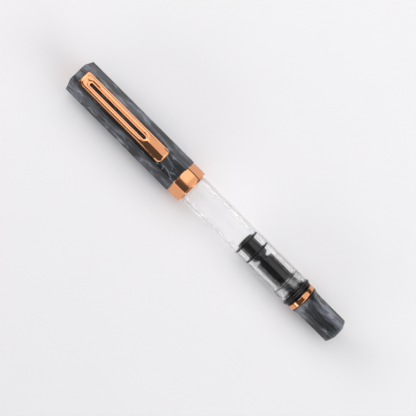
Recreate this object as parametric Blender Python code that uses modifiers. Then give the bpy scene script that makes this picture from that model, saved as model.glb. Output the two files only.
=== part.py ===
"""Fountain pen: hexagonal screw cap with a clip, clear barrel, and a piston filler worked by a knob.

The pen lies along X with its cap at -X and its knob at +X. The cap rests on one of its flats at
Z = 0 and the clip is on top. Sizes are in millimetres. A station is a distance along the pen from
the cap's closed end, and heights inside the pen are counted from its axis.
"""

import math

import bmesh
import bpy
from mathutils import Matrix

MM = 0.001

# ---------------------------------------------------------------- driving dimensions
LENGTH = 139.5            # cap end to knob end
CAP_FLAT = 6.62           # axis to a flat of the cap, so also the height of the axis
CAP_EDGE = 0.9            # radius of the cap's six long edges
CAP_LENGTH = 54.8
BAND_START, BAND_END = 55.1, 60.9
BARREL_RADIUS = 6.15
BORE = 4.2                # ink chamber
BARREL_START, BARREL_END = 52.2, 116.3
TAIL_START = 111.0        # the barrel's bore opens out here for the connector
TAIL_BORE = 5.05
SHOULDER = 61.8           # where the barrel reaches its full radius, behind the cap's mouth
GRIP_START = 30.5
KNOB_START = 121.65
KNOB_FLAT = 4.72          # axis to a flat of the knob
KNOB_CORNER = 5.38        # axis to a long edge of the knob
RING_RADIUS = 6.05        # trim ring and the knob's round front

TIGHT = 0.15              # radial clearance between threads
THREAD_BORE = 5.35        # cap's mouth, between its threads
THREAD_CORE = 4.75        # barrel's neck, between its threads
THREAD_CREST = 5.0        # outside of those threads
CONNECTOR_CORE, CONNECTOR_CREST = 4.4, 4.73
POST_CORE, POST_CREST = 3.25, 3.5    # the connector's rear end, which the knob turns on
CAP_BORE = 5.65           # inside of the cap
BAND_BORE = 5.95
LINER_BORE = 4.3          # inner cap
NIB_BORE = 3.4            # hole through the grip
NIB_INNER, NIB_OUTER = 2.35, 2.6
GUIDE_BORE = 2.9          # hole that the piston rod slides in
ROD_RADIUS = 2.65
ROD_FLAT = 1.75           # half the rod's thickness between the flats on its two sides
ROD_BORE = 1.25
SPINDLE_RADIUS = 1.0
KNOB_BORE = 3.8

CLIP_START, CLIP_END = 3.3, 46.2
CLIP_HALF = 3.05          # half the width of the clip's foot
CLIP_TOP_HALF = 2.33      # half the width of its upper face
CLIP_TOP = 9.1
CLIP_UNDER = 7.45
CLIP_ROOT_CORNER = 0.5    # radius of the foot's corners at the root; higher up they are rounder
CLIP_TIP_CORNER = 1.6
SLOT_HALF = 0.7
RECESS_DEPTH = 0.3        # shallow recess round the slot
TANG_BOTTOM = 5.1         # the tang that holds the clip reaches inside the cap's wall
TANG_HALF = 1.0

ROUND = 32                # sides of a large turned piece
FINE_ROUND = 24           # sides of a small or hidden one

# ---------------------------------------------------------------- scene and materials
for old in list(bpy.data.objects):
    bpy.data.objects.remove(old, do_unlink=True)

pen = bpy.data.collections.new("fountain_pen")
cutters = bpy.data.collections.new("cutters")
for group in (pen, cutters):
    bpy.context.scene.collection.children.link(group)


def finish(name, colour, roughness, metallic=0.0, alpha=1.0):
    """A plain Principled material."""
    material = bpy.data.materials.new(name)
    material.use_nodes = True
    shader = material.node_tree.nodes["Principled BSDF"]
    shader.inputs["Base Color"].default_value = (*colour, 1.0)
    shader.inputs["Roughness"].default_value = roughness
    shader.inputs["Metallic"].default_value = metallic
    shader.inputs["Alpha"].default_value = alpha
    return material


RESIN = ("marbled_resin", (0.11, 0.12, 0.14), 0.22)
ROSE_GOLD = ("rose_gold", (0.83, 0.47, 0.33), 0.14, 1.0)
CLEAR = ("clear_plastic", (0.93, 0.94, 0.95), 0.05, 0.0, 0.3)
BLACK = ("black_plastic", (0.02, 0.02, 0.022), 0.3)
RUBBER = ("black_rubber", (0.025, 0.025, 0.027), 0.5)
SILICONE = ("silicone", (0.75, 0.76, 0.76), 0.45)
STEEL = ("steel", (0.62, 0.61, 0.6), 0.25, 1.0)
NYLON = ("white_nylon", (0.8, 0.8, 0.78), 0.5)


# ---------------------------------------------------------------- modelling tools
def place(name, mesh, look):
    """Put a piece in the pen: its local Z runs forward along the axis and its local X up."""
    piece = bpy.data.objects.new(name, mesh)
    piece.location = (-LENGTH / 2 * MM, 0.0, CAP_FLAT * MM)
    piece.rotation_euler = (0.0, -math.pi / 2, 0.0)
    if look is None:
        cutters.objects.link(piece)
        piece.hide_render = True
        piece.display_type = 'WIRE'
        return piece
    pen.objects.link(piece)
    mesh.materials.append(finish(f"{name}_{look[0]}", *look[1:]))
    mesh.shade_smooth()
    return piece


def turned(name, look, profile, sides=ROUND):
    """A turned piece. The profile's (station, radius) points run back along the outside and, on a
    hollow piece, forward again along the bore."""
    points = [(radius * MM, 0.0, -station * MM) for station, radius in profile]
    edges = [(i, i + 1) for i in range(len(points) - 1)]
    if profile[0][1] > 0.0:
        edges.append((len(points) - 1, 0))
    mesh = bpy.data.meshes.new(name)
    mesh.from_pydata(points, edges, [])
    piece = place(name, mesh, look)
    screw = piece.modifiers.new("turn", 'SCREW')
    screw.steps = screw.render_steps = sides
    screw.use_merge_vertices = True
    screw.merge_threshold = 0.00001
    return piece


def ring(name, look, station, radius, thickness, sides=ROUND, facets=8):
    """A round rubber ring: a small circle turned about the axis."""
    around = [2 * math.pi * k / facets for k in range(facets)]
    profile = [(station - thickness * math.cos(a), radius + thickness * math.sin(a)) for a in around]
    return turned(name, look, profile, sides)


def threads(first, count, pitch, root, crest):
    """Ridges of a thread as (station, radius) points, in order of station from the first one."""
    points = []
    for turn in range(count):
        middle = first + turn * pitch
        for shift, radius in ((-0.38, root), (-0.14, crest), (0.14, crest), (0.38, root)):
            points.append((middle + math.copysign(shift, shift * pitch), radius))
    return points


def hex_bar(name, look, start, end, flat, edge, rim):
    """A hexagonal bar with a flat on top, rounded long edges and a small bevel round both ends."""
    bar = bmesh.new()
    corner = flat / math.cos(math.pi / 6) * MM
    middle = Matrix.Translation((0.0, 0.0, -(start + end) / 2 * MM))
    bmesh.ops.create_cone(bar, cap_ends=True, segments=6, radius1=corner, radius2=corner,
                          depth=(end - start) * MM, matrix=middle)
    long_edges = [e for e in bar.edges if abs(e.verts[0].co.z - e.verts[1].co.z) > MM]
    bmesh.ops.bevel(bar, geom=long_edges, offset=edge * math.tan(math.pi / 6) * MM, segments=3,
                    profile=0.5, affect='EDGES')
    end_faces = [f for f in bar.faces if abs(f.normal.z) > 0.9]
    end_edges = list({e for face in end_faces for e in face.edges})
    bmesh.ops.bevel(bar, geom=end_edges, offset=rim * MM, segments=1, affect='EDGES')
    mesh = bpy.data.meshes.new(name)
    bar.to_mesh(mesh)
    bar.free()
    return place(name, mesh, look)


def lofted(name, look, sections, mirrored=False):
    """A closed piece through sections of (station, y, height) points, all of one count. Where the
    second half of each section mirrors the first, its ends are closed in strips across it, so that
    they can bend along the pen."""
    shape = bmesh.new()
    rings = [[shape.verts.new((height * MM, y * MM, -station * MM)) for station, y, height in section]
             for section in sections]
    for lower, upper in zip(rings, rings[1:]):
        for k in range(len(lower)):
            shape.faces.new((lower[k - 1], lower[k], upper[k], upper[k - 1]))
    for end in (rings[0], rings[-1]):
        if mirrored:
            for k in range(len(end) // 2 - 1):
                shape.faces.new((end[k], end[k + 1], end[-2 - k], end[-1 - k]))
        else:
            shape.faces.new(end)
    shape.normal_update()
    bmesh.ops.recalc_face_normals(shape, faces=shape.faces)
    mesh = bpy.data.meshes.new(name)
    shape.to_mesh(mesh)
    shape.free()
    return place(name, mesh, look)


def block(name, station, y, height):
    """A box cutter or lug between (low, high) pairs along the pen, across it and up it."""
    shape = bmesh.new()
    bmesh.ops.create_cube(shape, size=1.0)
    for corner, (low, high) in enumerate((height, y, (-station[1], -station[0]))):
        for vert in shape.verts:
            vert.co[corner] = (high if vert.co[corner] > 0 else low) * MM
    mesh = bpy.data.meshes.new(name)
    shape.to_mesh(mesh)
    shape.free()
    return place(name, mesh, None)


def combine(piece, tool, operation):
    """Cut, join or intersect a piece with a tool from the cutters."""
    boolean = piece.modifiers.new(tool.name, 'BOOLEAN')
    boolean.operation = operation
    boolean.object = tool


def plan_outline(start, end, half, root_radius, tip_radius, side_points=10, arc_points=4):
    """A long outline seen from above, as (station, y) points: round corners of one radius at its
    start and of another at its end."""
    def corner(station, y, radius, first):
        angles = [math.radians(first - 90 * k / arc_points) for k in range(arc_points + 1)]
        return [(station + radius * math.cos(a), y + radius * math.sin(a)) for a in angles]

    def side(here, there, y):
        return [(here + (there - here) * k / side_points, y) for k in range(1, side_points)]

    root, tip = start + root_radius, end - tip_radius
    outline = corner(root, half - root_radius, root_radius, 180) + side(root, tip, half)
    outline += corner(tip, half - tip_radius, tip_radius, 90)
    outline += corner(tip, tip_radius - half, tip_radius, 0) + side(tip, root, -half)
    outline += corner(root, root_radius - half, root_radius, -90)
    return outline


# ---------------------------------------------------------------- cap
def make_cap():
    """Cap body, band, threaded mouth, finial and the liner inside."""
    cap = hex_bar("cap_body", RESIN, 0.0, CAP_LENGTH, CAP_FLAT, CAP_EDGE, rim=0.22)
    hollow = turned("cap_hollow", None, [
        (-1.0, 0.0), (-1.0, 4.75), (1.8, 4.75), (1.8, 2.2), (CLIP_START, 2.2), (CLIP_START, CAP_BORE),
        (48.5, CAP_BORE), (48.5, BAND_BORE), (CAP_LENGTH + 1, BAND_BORE), (CAP_LENGTH + 1, 0.0)])
    combine(cap, hollow, 'DIFFERENCE')
    combine(cap, block("clip_window", (3.9, 7.1), (-1.3, 1.3), (4.5, 8.0)), 'DIFFERENCE')

    band = hex_bar("cap_band", ROSE_GOLD, BAND_START, BAND_END, CAP_FLAT, CAP_EDGE, rim=0.3)
    band_bore = turned("band_bore", None, [
        (BAND_START - 1, 0.0), (BAND_START - 1, BAND_BORE), (BAND_END + 1, BAND_BORE), (BAND_END + 1, 0.0)])
    combine(band, band_bore, 'DIFFERENCE')

    mouth = [(48.8, 5.78), (61.05, 5.78), (61.05, 6.05), (61.3, 6.05), (61.5, 5.85), (61.5, THREAD_BORE)]
    mouth += threads(58.6, 3, -1.8, THREAD_BORE, THREAD_CREST + TIGHT)
    turned("cap_thread_bush", ROSE_GOLD, mouth + [(48.8, THREAD_BORE)])

    turned("finial", ROSE_GOLD, [
        (0.25, 0.0), (0.25, 2.7), (0.5, 2.9), (0.5, 3.2), (0.25, 3.4), (0.25, 4.25), (0.5, 4.5),
        (1.5, 4.5), (1.5, 1.9), (6.1, 1.9), (6.1, 0.0)], FINE_ROUND)
    turned("inner_cap", BLACK, [
        (6.4, 0.0), (6.4, 2.2), (3.6, 2.2), (3.6, 4.95), (12.0, 4.95), (12.6, 5.35), (29.3, 5.35),
        (29.3, LINER_BORE), (7.8, LINER_BORE), (7.2, 3.7), (7.2, 0.0)], FINE_ROUND)
    turned("inner_cap_seal", SILICONE, [
        (29.55, 5.1), (29.7, 5.2), (30.1, 5.2), (30.25, 5.05), (30.25, LINER_BORE), (29.55, LINER_BORE)],
        FINE_ROUND)


def smooth_step(value, low, high):
    """0 below low, 1 above high, and a smooth rise between."""
    share = min(1.0, max(0.0, (value - low) / (high - low)))
    return share * share * (3 - 2 * share)


def clip_under(station):
    """Height of the clip's underside: low at its foot, raised along its arm, low again at its tip."""
    root_pad = 1 - smooth_step(station, 8.5, 11.0)
    tip_bump = smooth_step(station, 38.0, 41.0) * (1 - smooth_step(station, 42.5, 46.0))
    return CLIP_UNDER - 0.6 * root_pad - 0.55 * tip_bump


def clip_rim(station):
    """Height of the rim round the clip's foot, which is the same all along it."""
    return CLIP_UNDER + 0.36


def clip_over(station):
    """Height of the clip's upper face, which falls towards the tip."""
    return CLIP_TOP - 1.05 * smooth_step(station, 37.0, 47.5)


def make_clip():
    """Clip: a flat foot rim, walls that lean in, a long slot in a shallow recess, and a tang that
    goes through the cap's wall."""
    top_inset = CLIP_HALF - CLIP_TOP_HALF
    levels = [                      # inset of the outline, the surface it lies on, height above that
        (0.16, clip_under, 0.0), (0.0, clip_rim, -0.24), (0.0, clip_rim, 0.0), (0.34, clip_rim, 0.1),
        (top_inset, clip_over, -0.16), (top_inset + 0.16, clip_over, 0.0)]
    sections = []
    for inset, surface, rise in levels:
        outline = plan_outline(CLIP_START + inset, CLIP_END - inset, CLIP_HALF - inset,
                               CLIP_ROOT_CORNER + 1.8 * inset, CLIP_TIP_CORNER - inset)
        sections.append([(station, y, surface(station) + rise) for station, y in outline])
    clip = lofted("clip", ROSE_GOLD, sections, mirrored=True)

    def slot_tool(name, start, end, half, low, high):
        outline = plan_outline(start, end, half, half - 0.02, half - 0.02, side_points=2)
        return lofted(name, None, [[(s, y, height) for s, y in outline] for height in (low, high)])

    combine(clip, slot_tool("clip_recess", 6.2, 37.0, 1.5, CLIP_TOP - RECESS_DEPTH, CLIP_TOP + 1),
            'DIFFERENCE')
    combine(clip, slot_tool("clip_slot", 8.0, 36.5, SLOT_HALF, 5.0, CLIP_TOP + 1), 'DIFFERENCE')
    across = (-TANG_HALF, TANG_HALF)
    combine(clip, block("clip_tang", (4.3, 6.7), across, (TANG_BOTTOM, 7.2)), 'UNION')
    combine(clip, block("clip_hook", (6.5, 7.9), across, (TANG_BOTTOM, TANG_BOTTOM + 0.3)), 'UNION')


# ---------------------------------------------------------------- front of the pen
def make_barrel():
    """Clear barrel and grip, with the seal between them."""
    outside = [(BARREL_START, THREAD_CORE)] + threads(54.1, 3, 1.8, THREAD_CORE, THREAD_CREST)
    outside += [(SHOULDER, THREAD_CORE), (SHOULDER, BARREL_RADIUS - 0.2), (SHOULDER + 0.2, BARREL_RADIUS),
                (BARREL_END - 0.2, BARREL_RADIUS), (BARREL_END, BARREL_RADIUS - 0.2)]
    tail = [(BARREL_END, TAIL_BORE)] + threads(115.2, 2, -1.8, TAIL_BORE, CONNECTOR_CREST + TIGHT)
    tail += [(TAIL_START, TAIL_BORE), (TAIL_START, BORE)]
    turned("barrel", CLEAR, outside + tail + [(BARREL_START, BORE)])

    turned("grip_section", CLEAR, [
        (GRIP_START, 4.55), (GRIP_START + 0.35, 4.85), (GRIP_START + 1.1, 4.95), (33.0, 4.65),
        (37.5, 4.5), (45.0, 4.7), (51.4, 4.95), (51.9, 4.8), (51.9, 4.08), (54.0, 4.08), (54.0, 3.4),
        (55.4, 3.4), (55.4, 4.05), (57.1, 4.05), (57.4, 3.8), (57.4, 2.65), (44.5, 2.65),
        (44.5, NIB_BORE), (GRIP_START, NIB_BORE)])
    ring("section_oring", RUBBER, 54.7, 3.79, 0.32, sides=FINE_ROUND, facets=6)


def make_nib():
    """Nib, the finned feed under it and the collar that holds both in the grip."""
    turned("nib_collar", BLACK, [
        (30.9, 3.0), (31.1, 3.15), (44.2, 3.15), (44.2, 2.72), (30.9, 2.72)], FINE_ROUND)

    nib = turned("nib", STEEL, [
        (9.4, NIB_OUTER), (42.0, NIB_OUTER), (42.0, NIB_INNER), (9.4, NIB_INNER)], FINE_ROUND)
    half_plan = ((9.6, 0.22), (11.0, 0.5), (14.0, 1.0), (17.5, 1.7), (20.0, 2.3), (21.5, 2.9), (41.6, 2.9))
    plan = list(half_plan) + [(station, -half) for station, half in reversed(half_plan)]
    blank = lofted("nib_blank", None, [[(s, y, height) for s, y in plan] for height in (-0.4, 4.0)])
    combine(nib, blank, 'INTERSECT')
    hole = [(22.5 + 0.45 * math.cos(a), 0.45 * math.sin(a)) for a in
            (2 * math.pi * k / 12 for k in range(12))]
    breather = lofted("breather", None, [[(s, y, height) for s, y in hole] for height in (1.5, 4.0)])
    combine(nib, breather, 'DIFFERENCE')

    full, deep = 2.2, 1.7
    rounds = [(13.2, 0.4), (15.5, 1.0), (18.5, 1.75), (19.4, 2.0)]
    for fin in range(7):
        start = 19.4 + fin * 1.5
        rounds += [(start + 0.05, deep), (start + 0.6, deep), (start + 0.65, full), (start + 1.45, full)]
    rounds += [(44.0, full), (44.1, 1.3), (57.1, 1.3)]
    sections = []
    for station, radius in rounds:
        lift = max(0.0, full - radius) if station < 19.0 else 0.0
        sections.append([(station, radius * math.sin(a), lift + radius * math.cos(a))
                         for a in (2 * math.pi * k / 16 for k in range(16))])
    lofted("feed", BLACK, sections)


# ---------------------------------------------------------------- filling mechanism
def rod_profile(name, start, end, radius, flat):
    """A round bar with a flat on each side, as a cutter."""
    bar = turned(name, None, [(start, 0.0), (start, radius), (end, radius), (end, 0.0)], FINE_ROUND)
    slab = block(f"{name}_slab", (start - 1, end + 1), (-flat, flat), (-radius - 1, radius + 1))
    combine(bar, slab, 'INTERSECT')
    return bar


def make_piston():
    """Piston head with its two lips, and the hollow rod that pushes it."""
    turned("piston_seal", RUBBER, [
        (89.0, 0.0), (89.15, 1.9), (89.55, 3.0), (90.05, 3.7), (90.45, 4.08), (90.8, 4.08), (91.1, 3.85),
        (95.7, 3.85), (96.0, 4.08), (96.35, 4.08), (96.6, 3.9), (98.3, 3.9), (98.5, 3.7), (98.5, 2.95),
        (92.0, 2.95), (92.0, 0.0)])
    rod = turned("piston_rod", BLACK, [
        (92.3, 0.0), (92.3, 2.4), (92.55, ROD_RADIUS), (136.6, ROD_RADIUS), (136.6, ROD_BORE),
        (94.0, ROD_BORE), (94.0, 0.0)], FINE_ROUND)
    for side in (-1, 1):
        across = sorted((side * ROD_FLAT, side * (ROD_RADIUS + 1)))
        combine(rod, block(f"rod_flat_{side}", (98.6, 138.0), across, (-4.0, 4.0)), 'DIFFERENCE')


def make_connector():
    """Fixed sleeve that guides the rod, screws into the barrel's tail and carries the knob."""
    outside = [(100.2, 0.0), (100.2, 3.7), (100.4, 3.9), (112.4, 3.9), (112.4, CONNECTOR_CORE)]
    outside += threads(113.6, 2, 1.8, CONNECTOR_CORE, CONNECTOR_CREST)
    outside += [(116.6, CONNECTOR_CORE), (116.6, 4.9), (118.45, 4.9), (118.45, 5.9), (118.55, 6.0),
                (119.05, 6.0), (119.05, 4.6), (121.2, 4.6), (121.2, POST_CORE)]
    outside += threads(123.5, 3, 3.0, POST_CORE, POST_CREST) + [(131.0, POST_CORE), (131.0, 0.0)]
    connector = turned("connector", BLACK, outside, FINE_ROUND)
    combine(connector, rod_profile("guide", 99.0, 104.0, GUIDE_BORE, ROD_FLAT + TIGHT), 'DIFFERENCE')
    bore = turned("connector_bore", None, [
        (103.0, 0.0), (103.0, GUIDE_BORE), (132.0, GUIDE_BORE), (132.0, 0.0)], FINE_ROUND)
    combine(connector, bore, 'DIFFERENCE')

    ring("connector_oring", RUBBER, 111.7, 4.42, 0.38, sides=FINE_ROUND, facets=6)
    ring("post_oring", RUBBER, 117.55, 5.75, 0.75)
    turned("knob_ring", ROSE_GOLD, [
        (119.35, 5.9), (119.5, RING_RADIUS), (121.2, RING_RADIUS), (121.35, 5.9), (121.35, 4.75),
        (119.35, 4.75)])


def knob_radius(angle, round_radius, flat):
    """Radius of the knob at an angle from a flat's middle: round, cut by six flats."""
    from_middle = (angle + math.pi / 6) % (math.pi / 3) - math.pi / 6
    return min(round_radius, flat / math.cos(from_middle))


def make_knob():
    """Knob with its hollow, the spindle that it turns and the washer that it bears on."""
    # station, round radius and distance to the flats; the flats run out before the round front
    stages = [(KNOB_START, RING_RADIUS - 0.15, 9.0), (KNOB_START + 0.15, RING_RADIUS, 9.0)]
    for step in range(1, 6):
        share = step / 5
        fall = (1 - share) ** 2.5
        stages.append((122.0 + 3.2 * share, KNOB_CORNER + (RING_RADIUS - KNOB_CORNER) * fall,
                       KNOB_FLAT + (RING_RADIUS - KNOB_FLAT) * fall))
    stages += [(137.6, KNOB_CORNER, KNOB_FLAT), (138.6, KNOB_CORNER - 0.16, KNOB_FLAT - 0.16),
               (139.15, KNOB_CORNER - 0.5, KNOB_FLAT - 0.5), (139.4, 4.0, 3.7), (LENGTH, 2.0, 2.0)]
    angles = [2 * math.pi * k / 24 for k in range(24)]
    sections = []
    for station, round_radius, flat in stages:
        radii = [knob_radius(a, round_radius, flat) for a in angles]
        sections.append([(station, r * math.sin(a), r * math.cos(a)) for a, r in zip(angles, radii)])
    knob = lofted("knob", RESIN, sections)
    hollow = turned("knob_hollow", None, [
        (120.0, 0.0), (120.0, 5.2), (122.7, 5.2), (122.7, KNOB_BORE), (137.2, KNOB_BORE), (137.2, 2.3),
        (138.6, 2.3), (138.6, 0.0)], FINE_ROUND)
    combine(knob, hollow, 'DIFFERENCE')

    turned("spindle", STEEL, [(94.8, 0.0), (94.8, 0.8), (95.0, SPINDLE_RADIUS), (137.45, SPINDLE_RADIUS),
                              (137.45, 2.0), (138.35, 2.0), (138.35, 0.0)], FINE_ROUND)
    turned("thrust_washer", NYLON, [(121.95, 5.0), (122.4, 5.0), (122.4, 3.75), (121.95, 3.75)],
           FINE_ROUND)


make_cap()
make_clip()
make_barrel()
make_nib()
make_piston()
make_connector()
make_knob()
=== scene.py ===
"""Fountain pen with a marbled hexagonal cap, a clear barrel and a piston filler: its finished look.

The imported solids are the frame, and every visible piece is modelled around them. Sizes are in
millimetres. A station is a distance along the pen from the cap's closed end.
"""

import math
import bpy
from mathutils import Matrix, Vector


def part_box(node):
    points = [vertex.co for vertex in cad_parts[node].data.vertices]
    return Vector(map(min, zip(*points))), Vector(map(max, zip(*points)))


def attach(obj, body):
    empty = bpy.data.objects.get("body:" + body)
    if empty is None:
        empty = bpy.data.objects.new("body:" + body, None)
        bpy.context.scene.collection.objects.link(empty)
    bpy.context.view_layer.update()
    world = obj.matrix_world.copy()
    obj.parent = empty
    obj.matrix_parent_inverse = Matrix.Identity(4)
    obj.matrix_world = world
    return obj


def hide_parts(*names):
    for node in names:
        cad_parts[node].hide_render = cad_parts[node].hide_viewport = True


bl_info = {
    "name": "Fountain Pen",
    "version": (1, 0, 0),
    "blender": (4, 5, 0),
    "location": "View3D > Sidebar > Fountain Pen",
    "description": "Models a piston-filled fountain pen and the plain stage that it lies on",
    "category": "Add Mesh",
}

import bmesh
import bpy
from mathutils import Matrix, Vector

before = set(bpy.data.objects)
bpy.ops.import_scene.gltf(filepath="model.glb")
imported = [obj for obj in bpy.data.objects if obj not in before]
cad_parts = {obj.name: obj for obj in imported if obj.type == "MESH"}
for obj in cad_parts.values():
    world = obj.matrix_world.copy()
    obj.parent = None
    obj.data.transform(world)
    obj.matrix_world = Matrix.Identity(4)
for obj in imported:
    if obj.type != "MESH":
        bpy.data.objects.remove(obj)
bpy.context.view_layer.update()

MM = 0.001


def node_span(node):
    """Where a solid of the frame starts and ends along the pen and how far it reaches from the
    axis, in millimetres."""
    low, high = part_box(node)
    return (low.x - PEN_START) / MM, (high.x - PEN_START) / MM, (high.y - low.y) / 2 / MM


PEN_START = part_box("cap_body")[0].x
AXIS_HEIGHT = (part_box("barrel")[0].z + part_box("barrel")[1].z) / 2
CAP_FLAT = (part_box("cap_body")[1].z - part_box("cap_body")[0].z) / 2 / MM
CAP_LENGTH = node_span("cap_body")[1]
BAND_START, BAND_END, _ = node_span("cap_band")
BARREL_START, BARREL_END, BARREL_RADIUS = node_span("barrel")
CLIP_START, CLIP_END, CLIP_HALF = node_span("clip")
CLIP_TOP = (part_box("clip")[1].z - AXIS_HEIGHT) / MM
CLIP_TANG = (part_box("clip")[0].z - AXIS_HEIGHT) / MM
GRIP_START, GRIP_END, _ = node_span("grip_section")
NIB_START, NIB_END, NIB_RADIUS = node_span("nib")
FEED_START, FEED_END, _ = node_span("feed")
SEAL_START, SEAL_END, _ = node_span("piston_seal")
ROD_START, ROD_END, ROD_RADIUS = node_span("piston_rod")
SLEEVE_START, CONNECTOR_END, COLLAR_RADIUS = node_span("connector")
POST_START, POST_END, POST_RADIUS = node_span("post_oring")
TRIM_START, TRIM_END, TRIM_RADIUS = node_span("knob_ring")
KNOB_START, KNOB_END, _ = node_span("knob")

CAP_EDGE = 0.9            # radius of the cap's long edges
CAP_BORE, BAND_BORE = 5.65, 5.95
MOUTH_BORE = 5.35         # cap's mouth, between its threads
NECK_ROOT, NECK_CREST = 4.75, 5.0    # threaded neck of the barrel, inside the cap
SHOULDER = 61.8           # front of the barrel's wide part
BORE = 4.2                # ink chamber
TAIL_START, TAIL_BORE = 111.0, 5.05  # wider end of the barrel's bore, for the connector
TAIL_THREAD_END = 115.3
NIB_BORE = 3.4            # front of the hole through the grip
SLEEVE_RADIUS = 3.9
SLEEVE_ROOT, SLEEVE_CREST = 4.25, 4.55
GUIDE_BORE = 2.9          # hole that the piston's rod slides in
POST_ROOT, POST_CREST = 3.25, 3.5    # connector's threaded rear end, inside the knob
ROD_FLAT = 1.75           # axis to a flat of the piston's rod
KNOB_FLAT, KNOB_CORNER = 4.72, 5.38
CLIP_UNDER = 7.45         # height of the clip's underside, above the axis
SIDES = 128               # sides of a turned piece
CAMERA_DISTANCE = 0.2885
BLACK = (0.003, 0.003, 0.0034)


# ---------------------------------------------------------------- settings
class PenShape(bpy.types.PropertyGroup):
    """Sizes that can be changed without leaving the frame."""
    edge_softness: bpy.props.FloatProperty(
        name="Edge Softness", description="Radius of the small edges on the metal trim, in millimetres",
        default=0.09, min=0.02, max=0.2)
    slot_width: bpy.props.FloatProperty(
        name="Slot Width", description="Width of the clip's slot, in millimetres",
        default=1.4, min=0.8, max=2.0)


class PenColours(bpy.types.PropertyGroup):
    """Colours of the finishes."""
    resin: bpy.props.FloatVectorProperty(
        name="Resin", description="Body colour of the marbled resin", subtype='COLOR', size=4,
        default=(0.044, 0.048, 0.056, 1.0), min=0.0, max=1.0)
    pearl: bpy.props.FloatVectorProperty(
        name="Pearl", description="Colour of the resin's light veins", subtype='COLOR', size=4,
        default=(0.32, 0.34, 0.39, 1.0), min=0.0, max=1.0)
    metal: bpy.props.FloatVectorProperty(
        name="Rose Gold", description="Colour of the plated trim", subtype='COLOR', size=4,
        default=(0.80, 0.36, 0.175, 1.0), min=0.0, max=1.0)
    clear: bpy.props.FloatVectorProperty(
        name="Clear Plastic", description="Tint of the barrel and the grip", subtype='COLOR', size=4,
        default=(0.998, 0.998, 1.0, 1.0), min=0.0, max=1.0)


# ---------------------------------------------------------------- modelling tools
def at(station):
    """A station's place along X, in metres."""
    return PEN_START + station * MM


def begin():
    """Leave edit mode and deselect all, so that an operator acts on the next piece alone."""
    if bpy.context.object and bpy.context.object.mode != 'OBJECT':
        bpy.ops.object.mode_set(mode='OBJECT')
    bpy.ops.object.select_all(action='DESELECT')


def focus(piece):
    """Select one piece and make it active."""
    begin()
    piece.select_set(True)
    bpy.context.view_layer.objects.active = piece


def edit_all():
    """Enter edit mode with every vertex selected."""
    bpy.ops.object.mode_set(mode='EDIT')
    bpy.ops.mesh.select_mode(type='VERT')
    bpy.ops.mesh.select_all(action='SELECT')


def settle(name):
    """Leave edit mode, name the piece and move its place into its mesh."""
    piece = bpy.context.object
    bpy.ops.object.mode_set(mode='OBJECT')
    focus(piece)
    bpy.ops.object.transform_apply(location=True, rotation=True, scale=True)
    piece.name = piece.data.name = name
    return piece


def apply_modifier(piece, kind, **settings):
    """Add a modifier, set it and apply it."""
    focus(piece)
    modifier = piece.modifiers.new(kind.lower(), kind)
    for key, value in settings.items():
        setattr(modifier, key, value)
    bpy.ops.object.modifier_apply(modifier=modifier.name)


def boolean(piece, tool, operation='DIFFERENCE'):
    """Cut, join or intersect a piece with a tool, which is used up."""
    apply_modifier(piece, 'BOOLEAN', operation=operation, object=tool, solver='EXACT')
    bpy.data.objects.remove(tool, do_unlink=True)


def soften(piece, width, segments=3, angle=28):
    """Round the sharp edges."""
    apply_modifier(piece, 'BEVEL', width=width * MM, segments=segments, limit_method='ANGLE',
                   angle_limit=math.radians(angle), miter_outer='MITER_ARC', use_clamp_overlap=True)


def polish(piece, angle=32):
    """Smooth shading that keeps flats flat and edges sharp."""
    focus(piece)
    bpy.ops.object.shade_smooth_by_angle(angle=math.radians(angle))
    apply_modifier(piece, 'WEIGHTED_NORMAL', keep_sharp=True, weight=60)


def pick(test, kind='VERT'):
    """Select the vertices, edges or faces of the mesh in edit mode that pass a test."""
    mesh = bpy.context.edit_object.data
    shape = bmesh.from_edit_mesh(mesh)
    bpy.ops.mesh.select_mode(type=kind)
    bpy.ops.mesh.select_all(action='DESELECT')
    items = {'VERT': shape.verts, 'EDGE': shape.edges, 'FACE': shape.faces}[kind]
    for item in items:
        if test(item):
            item.select_set(True)
    shape.select_flush_mode()
    bmesh.update_edit_mesh(mesh)


def turned(name, profile, hollow=True, sides=SIDES):
    """A turned piece: a ring drawn out and sized along (station, radius) points. A hollow piece's
    points run round its wall, and a solid one's from end to end."""
    begin()
    station, radius = profile[0]
    bpy.ops.mesh.primitive_circle_add(vertices=sides, radius=radius * MM, fill_type='NOTHING',
                                      location=(at(station), 0, AXIS_HEIGHT), rotation=(0, math.pi / 2, 0))
    edit_all()
    steps = profile + profile[:1] if hollow else profile
    for (start, inner), (end, outer) in zip(steps, steps[1:]):
        bpy.ops.mesh.extrude_region_move(TRANSFORM_OT_translate={"value": ((end - start) * MM, 0, 0)})
        if abs(outer - inner) > 1e-6:
            bpy.ops.transform.resize(value=(1, outer / inner, outer / inner),
                                     center_override=(at(end), 0, AXIS_HEIGHT))
    bpy.ops.mesh.select_all(action='SELECT')
    if hollow:
        bpy.ops.mesh.remove_doubles(threshold=1e-7)
    else:
        bpy.ops.mesh.fill_holes(sides=0)
    bpy.ops.mesh.normals_make_consistent(inside=False)
    return settle(name)


def arc(station, radius, size, first, last, count=6):
    """Points of a round corner about (station, radius), from one angle to another, in degrees.
    0 points back along the pen and 90 away from the axis."""
    angles = [math.radians(first + (last - first) * k / count) for k in range(count + 1)]
    return [(station + size * math.cos(a), radius + size * math.sin(a)) for a in angles]


def ridges(first, count, pitch, root, crest):
    """A thread's ridges as (station, radius) points."""
    points = []
    for turn in range(count):
        middle = first + turn * pitch
        for shift, radius in ((-0.42, root), (-0.12, crest), (0.12, crest), (0.42, root)):
            points.append((middle + shift * abs(pitch) / pitch, radius))
    return points


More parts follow.
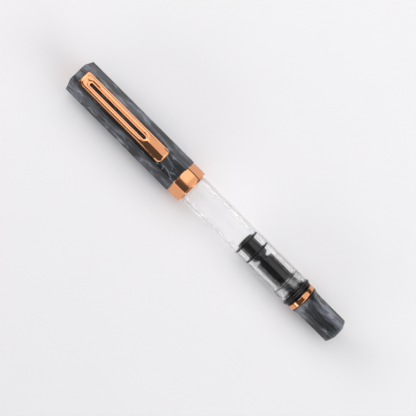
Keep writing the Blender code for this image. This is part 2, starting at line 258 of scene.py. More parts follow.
def block(name, stations, across, heights):
    """A square block between two stations, two y values and two heights above the axis."""
    begin()
    spans = stations, across, heights
    middle = [(low + high) / 2 for low, high in spans]
    bpy.ops.mesh.primitive_cube_add(
        size=1, location=(at(middle[0]), middle[1] * MM, AXIS_HEIGHT + middle[2] * MM))
    bpy.ops.transform.resize(value=[(high - low) * MM for low, high in spans])
    return settle(name)


def hex_bar(name, start, end, flat, edge, rim):
    """A hexagonal bar with a flat on top, round long edges and a small round along its ends."""
    begin()
    bpy.ops.mesh.primitive_cylinder_add(
        vertices=6, radius=flat / math.cos(math.pi / 6) * MM, depth=(end - start) * MM,
        location=(at((start + end) / 2), 0, AXIS_HEIGHT), rotation=(0, math.pi / 2, 0))
    piece = settle(name)
    bpy.ops.object.mode_set(mode='EDIT')
    pick(lambda e: abs(e.verts[0].co.x - e.verts[1].co.x) > MM, 'EDGE')
    bpy.ops.mesh.bevel(offset=edge * math.tan(math.pi / 6) * MM, segments=6)
    if rim:
        pick(lambda e: any(abs(f.normal.x) > 0.5 for f in e.link_faces), 'EDGE')
        bpy.ops.mesh.bevel(offset=rim * MM, segments=3)
    bpy.ops.object.mode_set(mode='OBJECT')
    return piece


def outline_plate(name, start, end, half, low, high, corners, cuts=(), rows=()):
    """An upright plate with a rounded plan: corners are the radii at its start and at its end. It is
    cut across at some stations and along some y values, so that it can bend there."""
    begin()
    bpy.ops.mesh.primitive_plane_add(size=1, location=(at((start + end) / 2), 0, AXIS_HEIGHT + low * MM))
    bpy.ops.transform.resize(value=((end - start) * MM, 2 * half * MM, 1))
    bpy.ops.object.transform_apply(location=True, rotation=True, scale=True)
    bpy.ops.object.mode_set(mode='EDIT')
    for station, radius in zip((start, end), corners):
        pick(lambda v: abs(v.co.x - at(station)) < 1e-7 and abs(abs(v.co.y) - half * MM) < 1e-7)
        bpy.ops.mesh.bevel(offset=radius * MM, segments=14, affect='VERTICES')
    lines = [((at(station), 0, 0), (1, 0, 0)) for station in cuts]
    for point, normal in lines + [((0, y * MM, 0), (0, 1, 0)) for y in rows]:
        bpy.ops.mesh.select_all(action='SELECT')
        bpy.ops.mesh.bisect(plane_co=point, plane_no=normal)
    bpy.ops.mesh.select_mode(type='FACE')
    bpy.ops.mesh.select_all(action='SELECT')
    bpy.ops.mesh.extrude_region_move(TRANSFORM_OT_translate={"value": (0, 0, (high - low) * MM)})
    return settle(name)


def raise_face(steps):
    """Draw the top face of the plate in edit mode inwards and upwards by (inset, rise) steps."""
    for inset, rise in steps:
        bpy.ops.mesh.inset(thickness=inset * MM, depth=rise * MM)


def reshape(piece, place):
    """Move every vertex to place(station, y, height above the axis)."""
    for vertex in piece.data.vertices:
        station = (vertex.co.x - PEN_START) / MM
        new = place(station, vertex.co.y / MM, (vertex.co.z - AXIS_HEIGHT) / MM)
        vertex.co = (at(new[0]), new[1] * MM, AXIS_HEIGHT + new[2] * MM)
    piece.data.update()


def smooth_step(value, low, high):
    """0 below low, 1 above high, and a smooth rise between."""
    share = min(1.0, max(0.0, (value - low) / (high - low)))
    return share * share * (3 - 2 * share)


# ---------------------------------------------------------------- shader tools
class Signal:
    """A shader socket that can be used in sums."""

    def __init__(self, paint, socket):
        self.paint, self.socket = paint, socket

    def math(self, operation, *others, flip=False):
        terms = (*others, self) if flip else (self, *others)
        node = self.paint.node('ShaderNodeMath', {"operation": operation}, dict(enumerate(terms)))
        return Signal(self.paint, node.outputs[0])

    def __add__(self, other):
        return self.math('ADD', other)

    def __mul__(self, other):
        return self.math('MULTIPLY', other)

    def __sub__(self, other):
        return self.math('SUBTRACT', other)

    def __rsub__(self, other):
        return self.math('SUBTRACT', other, flip=True)

    __radd__, __rmul__ = __add__, __mul__


class Paint:
    """A material under construction, around one Principled shader."""

    def __init__(self, name):
        self.material = bpy.data.materials.new(name)
        self.material.use_nodes = True
        self.tree = self.material.node_tree
        self.shader = self.tree.nodes["Principled BSDF"]
        self.output = self.tree.nodes["Material Output"]

    def node(self, kind, settings=None, inputs=None):
        """Add a node: its settings first, and then its sockets' values or links."""
        node = self.tree.nodes.new(kind)
        for key, value in (settings or {}).items():
            setattr(node, key, value)
        for key, value in (inputs or {}).items():
            if isinstance(value, Signal):
                self.tree.links.new(value.socket, node.inputs[key])
            else:
                node.inputs[key].default_value = value
        return node

    def out(self, kind, settings=None, inputs=None, output=0):
        return Signal(self, self.node(kind, settings, inputs).outputs[output])

    def place(self, scale, shift=(0.0, 0.0, 0.0)):
        """The piece's own coordinates, scaled along each axis."""
        coordinates = self.out('ShaderNodeTexCoord', output=3)
        return self.out('ShaderNodeMapping', inputs={
            "Vector": coordinates, "Scale": scale, "Location": shift})

    def noise(self, where, scale, detail=3.0, roughness=0.55):
        return self.out('ShaderNodeTexNoise', inputs={
            "Vector": where, "Scale": scale, "Detail": detail, "Roughness": roughness})

    def swirl(self, where, scale):
        """A noise's colour, to push coordinates about with."""
        return self.out('ShaderNodeTexNoise', inputs={
            "Vector": where, "Scale": scale, "Detail": 1.0}, output=1)

    def spread(self, value, low, high, to_low=0.0, to_high=1.0):
        """Stretch a range of a value over another, with soft ends."""
        return self.out('ShaderNodeMapRange', {"interpolation_type": 'SMOOTHSTEP'}, {
            0: value, 1: low, 2: high, 3: to_low, 4: to_high})

    def blend(self, factor, first, second):
        node = self.node('ShaderNodeMix', {"data_type": 'RGBA'}, {0: factor, 6: first, 7: second})
        return Signal(self, node.outputs[2])

    def warp(self, where, by, amount):
        """Push coordinates about by a swirl."""
        centred = self.out('ShaderNodeVectorMath', {"operation": 'SUBTRACT'}, {0: by, 1: (0.5, 0.5, 0.5)})
        scaled = self.out('ShaderNodeVectorMath', {"operation": 'SCALE'}, {0: centred, "Scale": amount})
        return self.out('ShaderNodeVectorMath', {"operation": 'ADD'}, {0: where, 1: scaled})

    def bump(self, height, strength, distance):
        return self.out('ShaderNodeBump', inputs={
            "Height": height, "Strength": strength, "Distance": distance})

    def set(self, **inputs):
        """Set the shader's sockets. A name's underscores stand for spaces."""
        for key, value in inputs.items():
            socket = self.shader.inputs[key.replace("_", " ")]
            if isinstance(value, Signal):
                self.tree.links.new(value.socket, socket)
            else:
                socket.default_value = value
        return self


def marbled_resin(name, seed):
    """Dark pearly resin: soft clouds and fine veins drawn out along the bar it was turned from."""
    paint = Paint(name)
    colours = bpy.context.scene.pen_colours
    where = paint.place((170.0, 430.0, 430.0), shift=(seed, seed * 0.7, seed * 0.3))
    flow = paint.warp(where, paint.swirl(where, 0.45), 2.6)
    flow = paint.warp(flow, paint.swirl(flow, 0.9), 0.9)
    cloud = paint.noise(flow, 0.42, detail=3.0, roughness=0.5)
    silk = paint.noise(flow, 2.3, detail=3.0, roughness=0.6)
    ridge = paint.noise(flow, 0.8, detail=2.0, roughness=0.5)
    vein = paint.spread((ridge - 0.5).math('ABSOLUTE'), 0.0, 0.035, 1.0, 0.0)
    patch = paint.spread(paint.noise(where, 0.5, detail=1.0), 0.48, 0.62)
    dark = paint.spread(cloud, 0.53, 0.41)
    light = paint.spread(cloud * 0.75 + silk * 0.25, 0.50, 0.66)
    glow = (light * 0.62 + vein * patch * 0.7).math('MINIMUM', 1.0)
    body = paint.blend(dark * 0.95, tuple(colours.resin), (0.006, 0.007, 0.009, 1.0))
    colour = paint.blend(glow, body, tuple(colours.pearl))
    fleck = paint.noise(paint.place((9000.0, 9000.0, 9000.0)), 1.0, detail=1.0)
    paint.set(Base_Color=colour, Metallic=glow * 0.3, Roughness=0.30 + fleck * 0.14,
              Coat_Weight=0.6, Coat_Roughness=0.035, Coat_IOR=1.3, Specular_IOR_Level=0.15)
    return paint.material


def rose_gold(name, brushed=0.0):
    """Polished rose-gold plating with faint handling marks."""
    paint = Paint(name)
    where = paint.place((1000.0, 1000.0, 1000.0))
    marks = paint.noise(paint.place((150.0, 1900.0, 1900.0)), 1.0, detail=5.0, roughness=0.7)
    cloudy = paint.noise(where, 0.35, detail=2.0)
    metal = tuple(bpy.context.scene.pen_colours.metal)
    pale = tuple(min(1.0, c * 1.08) for c in metal[:3]) + (1.0,)
    paint.set(Base_Color=paint.blend(cloudy, metal, pale), Metallic=1.0,
              Roughness=0.06 + brushed + marks * 0.05, Normal=paint.bump(marks, 0.05, 0.00002))
    return paint.material


def clear_plastic(name):
    """Clear polished plastic. Rays from lamps pass through it, so it hardly darkens what is in it."""
    paint = Paint(name)
    smear = paint.noise(paint.place((60.0, 160.0, 160.0)), 1.0, detail=1.0)
    paint.set(Base_Color=tuple(bpy.context.scene.pen_colours.clear), Transmission_Weight=1.0, IOR=1.32,
              Roughness=smear * 0.01, Specular_IOR_Level=0.25)
    path = paint.out('ShaderNodeLightPath', output=1)
    through = paint.node('ShaderNodeBsdfTransparent', inputs={0: (0.985, 0.985, 0.985, 1.0)})
    mix = paint.node('ShaderNodeMixShader', inputs={0: path * 0.9 + 0.1})
    paint.tree.links.new(paint.shader.outputs[0], mix.inputs[1])
    paint.tree.links.new(through.outputs[0], mix.inputs[2])
    paint.tree.links.new(mix.outputs[0], paint.output.inputs[0])
    return paint.material


def moulded(name, colour, roughness, coat=0.0, metallic=0.0, grain=0.05, shiny=None):
    """A moulded or rubbery surface with fine grain and slightly uneven gloss. Between the two
    stations of shiny it is highly polished."""
    paint = Paint(name)
    fine = paint.noise(paint.place((1600.0, 1600.0, 1600.0)), 1.0, detail=4.0)
    wide = paint.noise(paint.place((260.0, 260.0, 260.0)), 1.0, detail=2.0)
    deep = tuple(c * 0.72 for c in colour) + (1.0,)
    if shiny:
        start, end = shiny
        along = paint.out('ShaderNodeSeparateXYZ', inputs={0: paint.place((1.0, 1.0, 1.0))})
        entry = paint.spread(along, at(start - 0.2), at(start), 0.0, 1.0 - coat)
        coat = coat + entry * paint.spread(along, at(end), at(end + 0.2), 1.0, 0.0)
    paint.set(Base_Color=paint.blend(wide, deep, (*colour, 1.0)), Metallic=metallic,
              Specular_IOR_Level=0.18, Coat_IOR=2.4 if shiny else 1.35,
              Roughness=roughness + fine * 0.08, Coat_Weight=coat, Coat_Roughness=0.05,
              Normal=paint.bump(fine, grain, 0.00002))
    return paint.material


def finish_piece(piece, material, body, replaced):
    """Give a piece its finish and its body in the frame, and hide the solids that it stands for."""
    piece.data.materials.clear()
    piece.data.materials.append(material)
    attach(piece, body)
    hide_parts(*replaced)


# ---------------------------------------------------------------- cap
class PEN_OT_cap(bpy.types.Operator):
    """Cap body: a hollow hexagonal bar of marbled resin"""
    bl_idname = "pen.cap"
    bl_label = "Cap"

    def execute(self, context):
        cap = hex_bar("resin_cap", 0.0, CAP_LENGTH, CAP_FLAT, CAP_EDGE, rim=0.2)
        hollow = turned("hollow", [
            (-1.0, 4.75), (1.8, 4.75), (1.8, 2.2), (3.3, 2.2), (3.3, CAP_BORE), (48.5, CAP_BORE),
            (48.5, BAND_BORE), (CAP_LENGTH + 1, BAND_BORE)], hollow=False)
        boolean(cap, hollow)
        boolean(cap, block("window", (3.9, 7.1), (-1.3, 1.3), (4.5, 8.0)))
        polish(cap)
        finish_piece(cap, marbled_resin("cap_resin", 3.1), "cap", ["cap_body"])
        return {'FINISHED'}


class PEN_OT_band(bpy.types.Operator):
    """Cap band: a hexagonal rose-gold ring with slightly crowned sides, and the threaded mouth"""
    bl_idname = "pen.band"
    bl_label = "Cap Band"

    def execute(self, context):
        shape = context.scene.pen_shape
        band = hex_bar("hex_band", BAND_START, BAND_END, CAP_FLAT, CAP_EDGE, rim=0.0)
        middle, half = (BAND_START + BAND_END) / 2, (BAND_END - BAND_START) / 2
        crown_along, crown_across = 0.08, 0.15
        planes = [((at(middle + half * cut / 6), 0, 0), (1, 0, 0)) for cut in range(-5, 6)]
        planes += [((0, 0, AXIS_HEIGHT), (0, math.cos(around), math.sin(around)))
                   for around in (math.radians(10 * cut + 5) for cut in range(18))]
        focus(band)
        edit_all()
        for point, normal in planes:
            bpy.ops.mesh.select_all(action='SELECT')
            bpy.ops.mesh.bisect(plane_co=point, plane_no=normal)
        bpy.ops.object.mode_set(mode='OBJECT')

        def crown(station, y, height):
            away = (math.degrees(math.atan2(y, height)) + 30) % 60 - 30
            across = math.tan(math.radians(away)) / math.tan(math.radians(30))
            fall = crown_along * ((station - middle) / half) ** 2 + crown_across * across ** 2
            return station, y * (1 - fall / CAP_FLAT), height * (1 - fall / CAP_FLAT)

        reshape(band, crown)
        bore = turned("band_bore", [(BAND_START - 1, BAND_BORE), (BAND_END + 1, BAND_BORE)], hollow=False)
        boolean(band, bore)
        soften(band, shape.edge_softness, angle=34)
        polish(band)
        finish_piece(band, rose_gold("band_gold"), "cap", ["cap_band"])

        mouth = [(48.8, 5.78), (61.03, 5.78)] + arc(61.11, 5.97, 0.08, 180, 90, 3)
        mouth += arc(61.28, 5.82, 0.22, 90, 0, 5) + [(61.5, 5.5), (61.35, MOUTH_BORE)]
        mouth += ridges(58.6, 4, -1.8, MOUTH_BORE, 5.16) + [(48.8, MOUTH_BORE)]
        bush = turned("cap_mouth", mouth)
        polish(bush)
        finish_piece(bush, rose_gold("mouth_gold", 0.03), "cap", ["cap_thread_bush"])
        return {'FINISHED'}


class PEN_OT_finial(bpy.types.Operator):
    """Finial: the domed disc in the cap's end, with its screw"""
    bl_idname = "pen.finial"
    bl_label = "Finial"

    def execute(self, context):
        profile = [(0.2, 0.2), (0.24, 1.6), (0.3, 2.6), (0.52, 2.75), (0.52, 3.15), (0.3, 3.3), (0.38, 4.1)]
        profile += arc(0.75, 4.2, 0.3, 150, 90, 4) + [(1.5, 4.5), (1.5, 1.9), (6.1, 1.9)]
        finial = turned("cap_finial", profile, hollow=False)
        soften(finial, 0.04, segments=2)
        polish(finial)
        finish_piece(finial, rose_gold("finial_gold"), "cap", ["finial"])
        return {'FINISHED'}


class PEN_OT_clip(bpy.types.Operator):
    """Clip: a foot rim, walls with a rounded border, a slot in a recess, and a ridged tip"""
    bl_idname = "pen.clip"
    bl_label = "Clip"

    def execute(self, context):
        shape = context.scene.pen_shape
        rim, root_corner, tip_corner, border = 0.34, 2.8, 1.6, 0.58
        foot = CLIP_UNDER + rim
        cuts = [6.5 + k for k in range(6)] + [14 + 4 * k for k in range(6)]
        cuts += [36.6 + 0.45 * k for k in range(17)]
        clip = outline_plate("slotted_clip", CLIP_START, CLIP_END, CLIP_HALF, CLIP_UNDER, foot,
                             (root_corner, tip_corner), cuts, [-1.25 + 0.25 * k for k in range(11)])
        bpy.ops.object.mode_set(mode='EDIT')
        pick(lambda f: f.normal.z > 0.9, 'FACE')
        angles = [math.radians(15 * k) for k in range(7)]
        raise_face([(0.32, 0.06), (0.03, CLIP_TOP - foot - 0.06 - border)]
                   + [((math.cos(a) - math.cos(b)) * border, (math.sin(b) - math.sin(a)) * border)
                      for a, b in zip(angles, angles[1:])] + [(0.3, 0.0)])
        bpy.ops.object.mode_set(mode='OBJECT')
        corner_station, corner_y = CLIP_START + root_corner, CLIP_HALF - root_corner

        def settle_shape(station, y, height):
            """Square the foot at the root, lift the clip off the cap and slope its tip."""
            if height < foot + 0.01 and station < corner_station and abs(y) > corner_y:
                away = Vector((corner_station - station, abs(y) - corner_y))
                squared = root_corner / (away.x ** 11 + away.y ** 11) ** (1 / 11)
                station = corner_station - away.x * squared
                y = math.copysign(corner_y + away.y * squared, y)
            if height < CLIP_UNDER + 0.01:
                height -= 0.6 * (1 - smooth_step(station, 8.5, 11.0))
                height -= 0.5 * smooth_step(station, 38.0, 41.0) * (1 - smooth_step(station, 42.5, 46.0))
            elif height > foot:
                share = (height - foot) / (CLIP_TOP - foot)
                ridge = math.hypot(min(abs(y), 2.4), 0.2) - 0.2
                drop = 0.95 * smooth_step(station, 37.0, 48.0)
                drop += 0.32 * smooth_step(station, 34.5, 40.5) * ridge
                height -= drop * share
            return station, y, height

        reshape(clip, settle_shape)
        half = shape.slot_width / 2
        recess = outline_plate("recess", 6.1, 37.0, 1.36, CLIP_TOP - 0.02, CLIP_TOP + 1, (1.3, 1.3))
        bpy.ops.object.mode_set(mode='EDIT')
        pick(lambda f: f.normal.z < -0.9, 'FACE')
        raise_face([(0.08, 0.04), (0.16, 0.27), (0.05, 0.02)])
        bpy.ops.object.mode_set(mode='OBJECT')
        boolean(clip, recess)
        slot = outline_plate("slot", 7.1, 36.2, half, 5.0, CLIP_TOP + 1, (half - 0.03, half - 0.03))
        boolean(clip, slot)
        soften(clip, 0.07, angle=32)
        for stations, top in (((4.3, 6.7), 7.2), ((6.5, 7.9), CLIP_TANG + 0.3)):
            boolean(clip, block("tang", stations, (-1.0, 1.0), (CLIP_TANG, top)), 'UNION')
        polish(clip)
        finish_piece(clip, rose_gold("clip_gold"), "clip", ["clip"])
        return {'FINISHED'}


# ---------------------------------------------------------------- front of the pen
class PEN_OT_barrel(bpy.types.Operator):
    """Barrel: a thick clear tube with threads at both ends"""
    bl_idname = "pen.barrel"
    bl_label = "Barrel"

    def execute(self, context):
        front, edge = BARREL_START + 0.15, 0.25
        wall = [(front, NECK_ROOT - 0.1), (front + 0.1, NECK_ROOT)]
        wall += ridges(54.1, 3, 1.8, NECK_ROOT, NECK_CREST) + [(60.9, NECK_ROOT), (61.35, NECK_ROOT)]
        wall += arc(61.55, NECK_ROOT + 0.25, 0.25, 270, 360, 4)
        wall += arc(SHOULDER + 0.35, BARREL_RADIUS - 0.35, 0.35, 180, 90, 8)
        wall += arc(BARREL_END - edge, BARREL_RADIUS - edge, edge, 90, 0, 6)
        wall += [(BARREL_END, TAIL_BORE), (TAIL_THREAD_END, TAIL_BORE)]
        for turn in range(5):
            crest = TAIL_THREAD_END - 0.78 * turn - 0.39
            wall += [(crest, 4.66), (crest - 0.39, TAIL_BORE)]
        wall += [(TAIL_START, TAIL_BORE)] + arc(TAIL_START - 0.1, BORE + 0.12, 0.12, 0, -90, 3)
        wall += [(front, BORE)]
        barrel = turned("clear_barrel", wall)
        polish(barrel, 40)
        finish_piece(barrel, clear_plastic("barrel_clear"), "barrel", ["barrel"])
        return {'FINISHED'}


class PEN_OT_grip(bpy.types.Operator):
    """Grip: the clear waisted section that the fingers hold, with the plug that seals the barrel"""
    bl_idname = "pen.grip"
    bl_label = "Grip"

    def execute(self, context):
        front, rear = GRIP_START + 0.05, GRIP_END - 0.02
        waist = [(front, 4.35), (front + 0.15, 4.7), (front + 0.55, 4.9), (31.7, 4.94), (32.4, 4.84),
                 (33.2, 4.64), (34.4, 4.5), (36.5, 4.46), (39.0, 4.5), (42.0, 4.6), (46.0, 4.76),
                 (49.5, 4.9), (51.3, 4.94), (51.7, 4.9), (51.88, 4.78)]
        plug = [(51.88, 4.08), (54.0, 4.08), (54.0, 3.42), (55.4, 3.42), (55.4, 4.05), (57.1, 4.05),
                (rear, 3.8)]
        wall = waist + plug + [(rear, 2.65), (44.5, 2.65), (44.5, NIB_BORE), (front, NIB_BORE)]
        grip = turned("clear_grip", wall)
        polish(grip, 40)
        finish_piece(grip, clear_plastic("grip_clear"), "barrel", ["grip_section"])
        return {'FINISHED'}


class PEN_OT_nib(bpy.types.Operator):
    """Nib: a curved steel blade with a slit and a breather hole, on a finned black feed"""
    bl_idname = "pen.nib"
    bl_label = "Nib and Feed"

    def execute(self, context):
        begin()
        length = NIB_END - NIB_START
        bpy.ops.mesh.primitive_grid_add(x_subdivisions=80, y_subdivisions=25, size=1,
                                        location=(at((NIB_START + NIB_END) / 2), 0, AXIS_HEIGHT))
        bpy.ops.transform.resize(value=(length * MM, 2 * MM, 1))
        nib = settle("steel_nib")

        def blade(station, y, height):
            run = station - NIB_START
            half = 0.26 + 2.06 * smooth_step(run, -2.5, 13.5) + 0.6 * smooth_step(run, 9.5, 12.5)
            radius = NIB_RADIUS - 0.02
            angle = y * min(1.75, half / radius)
            droop = 0.35 * (1 - smooth_step(run, 0.0, 9.0))
            return station, radius * math.sin(angle), radius * math.cos(angle) - droop

        reshape(nib, blade)
        apply_modifier(nib, 'SOLIDIFY', thickness=0.26 * MM, offset=-1.0)
        begin()
        bpy.ops.mesh.primitive_cylinder_add(vertices=32, radius=0.42 * MM, depth=4 * MM,
                                            location=(at(22.0), 0, AXIS_HEIGHT + 2.2 * MM))
        boolean(nib, settle("breather"))
        boolean(nib, block("slit", (8.0, 22.0), (-0.025, 0.025), (0.2, 4.2)))
        polish(nib)
        steel = moulded("nib_steel", (0.62, 0.61, 0.59), 0.14, metallic=1.0, grain=0.03)
        finish_piece(nib, steel, "barrel", ["nib"])

        full, deep = 2.18, 1.55
        points = [(FEED_START + 0.1, 0.25), (FEED_START + 0.6, 0.55), (15.5, 1.0), (17.5, 1.5),
                  (19.0, 1.85)]
        for fin in range(13):
            start = 19.4 + fin * 0.84
            points += [(start, deep), (start + 0.34, deep), (start + 0.36, full), (start + 0.82, full)]
        points += [(44.0, full), (44.1, 1.3), (FEED_END, 1.3)]
        feed = turned("finned_feed", points, hollow=False, sides=64)

        def lift(station, y, height):
            """Raise the tapered front against the nib."""
            rise = full - self.feed_radius(station) if station < 19.2 else 0.0
            return station, y, height + rise

        reshape(feed, lift)
        polish(feed)
        black = moulded("feed_black", (0.012, 0.012, 0.013), 0.35)
        finish_piece(feed, black, "barrel", ["feed"])
        return {'FINISHED'}

    @staticmethod
    def feed_radius(station):
        """The feed's radius along its tapered front."""
        return 0.25 + 1.6 * min(1.0, max(0.0, (station - FEED_START) / (19.0 - FEED_START))) ** 0.8


# ---------------------------------------------------------------- filling mechanism
class PEN_OT_piston(bpy.types.Operator):
    """Piston: a black head whose two lips press on the bore, and the rod behind it"""
    bl_idname = "pen.piston"
    bl_label = "Piston"

    def execute(self, context):
        body, lip = 3.45, BORE + 0.04
        profile = [(SEAL_START + 0.1, 0.2), (SEAL_START + 0.12, 1.6), (SEAL_START + 0.25, 2.8),
                   (SEAL_START + 0.5, 3.3), (SEAL_START + 0.85, body)]
        for start, end in ((90.2, 90.95), (95.95, 96.65)):
            profile += [(start - 0.35, body), (start - 0.1, 3.8), (start, lip),
                        (end, lip), (end + 0.1, 3.8), (end + 0.45, body)]
        profile += [(98.0, body), (98.3, 3.2), (SEAL_END, 2.95), (92.0, 2.95)]
        seal = turned("piston_head", profile, hollow=False)
        polish(seal, 50)
        rubber = moulded("seal_rubber", BLACK, 0.3, coat=0.05)
        finish_piece(seal, rubber, "piston", ["piston_seal"])

        rod = turned("piston_shaft", [
            (ROD_START, 2.4), (ROD_START + 0.25, ROD_RADIUS), (ROD_END, ROD_RADIUS), (ROD_END, 1.3),
            (94.0, 1.3)], hollow=False, sides=96)
        for across in ((-ROD_FLAT - 2.0, -ROD_FLAT), (ROD_FLAT, ROD_FLAT + 2.0)):
            boolean(rod, block("flat", (98.8, 137.8), across, (-4.0, 4.0)))
        polish(rod)
        black = moulded("rod_black", BLACK, 0.3, coat=0.05)
        finish_piece(rod, black, "piston", ["piston_rod"])
        return {'FINISHED'}


class PEN_OT_connector(bpy.types.Operator):
    """Connector: the fixed black sleeve, collar and thread that carry the piston and the knob"""
    bl_idname = "pen.connector"
    bl_label = "Connector"

    def execute(self, context):
        wall = arc(SLEEVE_START + 0.15, SLEEVE_RADIUS - 0.15, 0.15, 180, 90, 3)
        wall += [(111.2, SLEEVE_RADIUS), (111.2, SLEEVE_ROOT)]
        wall += ridges(111.6, 5, 0.75, SLEEVE_ROOT, SLEEVE_CREST) + [(115.2, SLEEVE_ROOT)]
        wall += [(TAIL_THREAD_END, 4.65), (116.62, 4.65), (116.62, 4.9), (118.42, 4.9)]
        wall += arc(118.55, COLLAR_RADIUS - 0.12, 0.12, 180, 90, 3)
        wall += arc(118.95, COLLAR_RADIUS - 0.12, 0.12, 90, 0, 3)
        wall += [(119.07, 4.6), (121.2, 4.6), (121.2, POST_ROOT)]
        wall += ridges(122.6, 5, 1.8, POST_ROOT, POST_CREST) + [(CONNECTOR_END, POST_ROOT)]
        wall += [(CONNECTOR_END, GUIDE_BORE), (SLEEVE_START, GUIDE_BORE)]
        sleeve = turned("guide_sleeve", wall)
        polish(sleeve)
        black = moulded("sleeve_black", BLACK, 0.2, coat=0.05, shiny=(111.3, 115.2))
        finish_piece(sleeve, black, "barrel", ["connector"])

        middle, size = (POST_START + POST_END) / 2, (POST_END - POST_START) / 2
        rings = (("post_ring", "post_oring", middle, POST_RADIUS - size, size),
                 ("thread_ring", "connector_oring", 111.7, 4.45, 0.36))
        for name, node, station, radius, thickness in rings:
            oring = turned(name, arc(station, radius, thickness, 180, -165, 23))
            polish(oring, 60)
            rubber = moulded(f"{name}_rubber", (0.006, 0.006, 0.007), 0.24, coat=0.35)
            finish_piece(oring, rubber, "barrel", [node])

        edge = 0.22
        wall = arc(TRIM_START + edge, TRIM_RADIUS - edge, edge, 180, 90, 6)
        wall += arc(TRIM_END - edge, TRIM_RADIUS - edge, edge, 90, 0, 6)
        wall += [(TRIM_END, 4.75), (TRIM_START, 4.75)]
        trim = turned("trim_ring", wall)
        polish(trim, 40)
        finish_piece(trim, rose_gold("trim_gold"), "barrel", ["knob_ring"])
        return {'FINISHED'}


class PEN_OT_knob(bpy.types.Operator):
    """Knob: round against its ring and hexagonal behind, hollow over the connector"""
    bl_idname = "pen.knob"
    bl_label = "Knob"

    def execute(self, context):
        flare = [1 - k / 12 for k in range(13)]
        front = KNOB_START + 0.3
        round_part = [(KNOB_START + 0.02, TRIM_RADIUS - 0.12), (KNOB_START + 0.12, TRIM_RADIUS - 0.02)]
        round_part += [(front + 3.2 * (1 - f), KNOB_CORNER + (TRIM_RADIUS - KNOB_CORNER) * f ** 2.5)
                       for f in flare]
        round_part += arc(KNOB_END - 1.05, KNOB_CORNER - 1.0, 1.0, 90, 12, 8)
        round_part += [(KNOB_END - 0.03, 3.4), (KNOB_END, 1.8), (KNOB_END, 0.3)]
        knob = turned("resin_knob", round_part, hollow=False)

        begin()
        corner = 1 / math.cos(math.pi / 6)
        bpy.ops.mesh.primitive_circle_add(vertices=6, radius=9.0 * corner * MM, fill_type='NOTHING',
                                          location=(at(KNOB_START - 1), 0, AXIS_HEIGHT),
                                          rotation=(0, math.pi / 2, 0))
        edit_all()
        stages = [(KNOB_START - 1, 9.0)]
        stages += [(front + 5.0 * (1 - f), KNOB_FLAT + (TRIM_RADIUS - KNOB_FLAT) * f ** 2.3)
                   for f in flare]
        stages += [(KNOB_END - 1.2, KNOB_FLAT)]
        stages += [(KNOB_END - 1.2 + math.sin(a) * 1.15, KNOB_FLAT - 1.1 * (1 - math.cos(a)))
                   for a in (math.radians(15 * k) for k in range(1, 6))]
        stages += [(KNOB_END + 1, KNOB_FLAT - 1.1)]
        for (start, inner), (end, outer) in zip(stages, stages[1:]):
            bpy.ops.mesh.extrude_region_move(TRANSFORM_OT_translate={"value": ((end - start) * MM, 0, 0)})
            bpy.ops.transform.resize(value=(1, outer / inner, outer / inner),
                                     center_override=(at(end), 0, AXIS_HEIGHT))
        bpy.ops.mesh.select_all(action='SELECT')
        bpy.ops.mesh.fill_holes(sides=0)
        bpy.ops.mesh.normals_make_consistent(inside=False)
        boolean(knob, settle("facets"), 'INTERSECT')
        soften(knob, 0.16, segments=4, angle=14)
        hollow = turned("hollow", [(120.0, 5.2), (122.7, 5.2), (122.7, 3.8), (137.2, 3.8), (137.2, 2.3),
                                   (138.6, 2.3)], hollow=False)
        boolean(knob, hollow)
        polish(knob, 24)
        finish_piece(knob, marbled_resin("knob_resin", 11.7), "knob", ["knob"])
        return {'FINISHED'}


class PEN_OT_hidden_parts(bpy.types.Operator):
    """Finishes for the solids that stay hidden inside the pen"""
    bl_idname = "pen.hidden_parts"
    bl_label = "Hidden Parts"

    def execute(self, context):
        looks = (
            ("inner_cap", "liner_black", (0.02, 0.02, 0.022), 0.35, 0.0),
            ("inner_cap_seal", "silicone_pale", (0.62, 0.63, 0.63), 0.4, 0.0),
            ("nib_collar", "collar_black", (0.015, 0.015, 0.016), 0.3, 0.0),
            ("section_oring", "section_rubber", (0.014, 0.014, 0.015), 0.4, 0.0),
            ("thrust_washer", "nylon_white", (0.78, 0.78, 0.76), 0.45, 0.0),
            ("spindle", "spindle_steel", (0.6, 0.6, 0.6), 0.25, 1.0),
        )
        for node, name, colour, roughness, metallic in looks:
            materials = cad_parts[node].data.materials
            materials.clear()
            materials.append(moulded(name, colour, roughness, metallic=metallic))
        return {'FINISHED'}


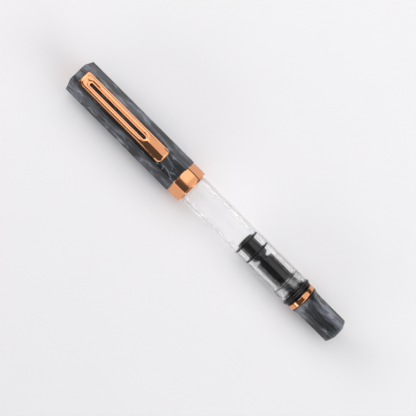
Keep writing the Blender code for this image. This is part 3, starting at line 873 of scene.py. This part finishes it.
# ---------------------------------------------------------------- stage
class PEN_OT_stage(bpy.types.Operator):
    """Pale floor, soft studio light from above and from three sides, and the camera"""
    bl_idname = "pen.stage"
    bl_label = "Stage"

    def execute(self, context):
        begin()
        bpy.ops.mesh.primitive_plane_add(size=4, location=(0, 0, 0))
        floor = settle("floor")
        paint = Paint("floor_paper")
        grain = paint.noise(paint.place((40.0, 40.0, 40.0)), 1.0, detail=2.0)
        paint.set(Base_Color=paint.blend(grain, (0.89, 0.875, 0.885, 1.0), (0.91, 0.895, 0.905, 1.0)),
                  Roughness=0.75)
        floor.data.materials.append(paint.material)

        self.lamp("overhead", (-0.52, 0.60, 0.80), (1.0, 1.16), 1.35, aim=False)
        self.lamp("overhead_middle", (0.15, 0.60, 0.80), (0.34, 1.16), 0.85, aim=False)
        self.lamp("overhead_rear", (0.82, 0.60, 0.80), (1.0, 1.16), 1.15, aim=False)
        self.lamp("side", (0.0, -0.95, 0.28), (1.8, 0.3), 2.0)
        self.lamp("front", (-0.95, 0.0, 0.32), (0.9, 0.5), 5.2)
        self.lamp("rear", (0.95, 0.0, 0.32), (0.9, 0.5), 4.6)

        world = bpy.data.worlds.new("studio")
        world.use_nodes = True
        world.node_tree.nodes["Background"].inputs[0].default_value = (0.9, 0.92, 1.0, 1.0)
        world.node_tree.nodes["Background"].inputs[1].default_value = 0.12
        context.scene.world = world
        context.scene.view_settings.view_transform = 'Standard'

        camera_data = bpy.data.cameras.new("camera")
        camera_data.lens = 65.0
        camera = bpy.data.objects.new("camera", camera_data)
        context.scene.collection.objects.link(camera)
        tilt = math.radians(4.0)
        target = Matrix.Translation((1.15 * MM, -1.15 * MM, AXIS_HEIGHT))
        turn = Matrix.Rotation(tilt, 4, 'X') @ Matrix.Rotation(math.radians(45), 4, 'Z')
        camera.matrix_world = target @ turn @ Matrix.Translation((0, 0, CAMERA_DISTANCE))
        camera_data.clip_start = 0.01
        context.scene.camera = camera
        return {'FINISHED'}

    @staticmethod
    def lamp(name, place, size, radiance, aim=True):
        """A soft rectangular lamp that faces the pen, or straight down."""
        begin()
        bpy.ops.object.light_add(type='AREA', location=place)
        lamp = bpy.context.object
        lamp.name = name
        lamp.data.shape = 'RECTANGLE'
        lamp.data.size, lamp.data.size_y = size
        lamp.data.energy = radiance * math.pi * size[0] * size[1]
        if aim:
            lamp.rotation_euler = (-Vector(place)).to_track_quat('-Z', 'Y').to_euler()


class PEN_PT_panel(bpy.types.Panel):
    """The pen's pieces in the sidebar"""
    bl_idname = "PEN_PT_panel"
    bl_label = "Fountain Pen"
    bl_space_type = 'VIEW_3D'
    bl_region_type = 'UI'
    bl_category = "Fountain Pen"

    def draw(self, context):
        for settings in (context.scene.pen_shape, context.scene.pen_colours):
            for key in settings.bl_rna.properties.keys():
                if key not in {"rna_type", "name"}:
                    self.layout.prop(settings, key)
        for operator in STEPS:
            self.layout.operator(operator.bl_idname)


STEPS = (PEN_OT_cap, PEN_OT_band, PEN_OT_finial, PEN_OT_clip, PEN_OT_barrel, PEN_OT_grip, PEN_OT_nib,
         PEN_OT_piston, PEN_OT_connector, PEN_OT_knob, PEN_OT_hidden_parts, PEN_OT_stage)
CLASSES = (PenShape, PenColours, *STEPS, PEN_PT_panel)


def register():
    for cls in CLASSES:
        bpy.utils.register_class(cls)
    bpy.types.Scene.pen_shape = bpy.props.PointerProperty(type=PenShape)
    bpy.types.Scene.pen_colours = bpy.props.PointerProperty(type=PenColours)


def unregister():
    del bpy.types.Scene.pen_shape
    del bpy.types.Scene.pen_colours
    for cls in reversed(CLASSES):
        bpy.utils.unregister_class(cls)


def main():
    """Make every piece in order."""
    register()
    for step in STEPS:
        group, operator = step.bl_idname.split(".")
        getattr(getattr(bpy.ops, group), operator)()


if __name__ == "__main__":
    main()
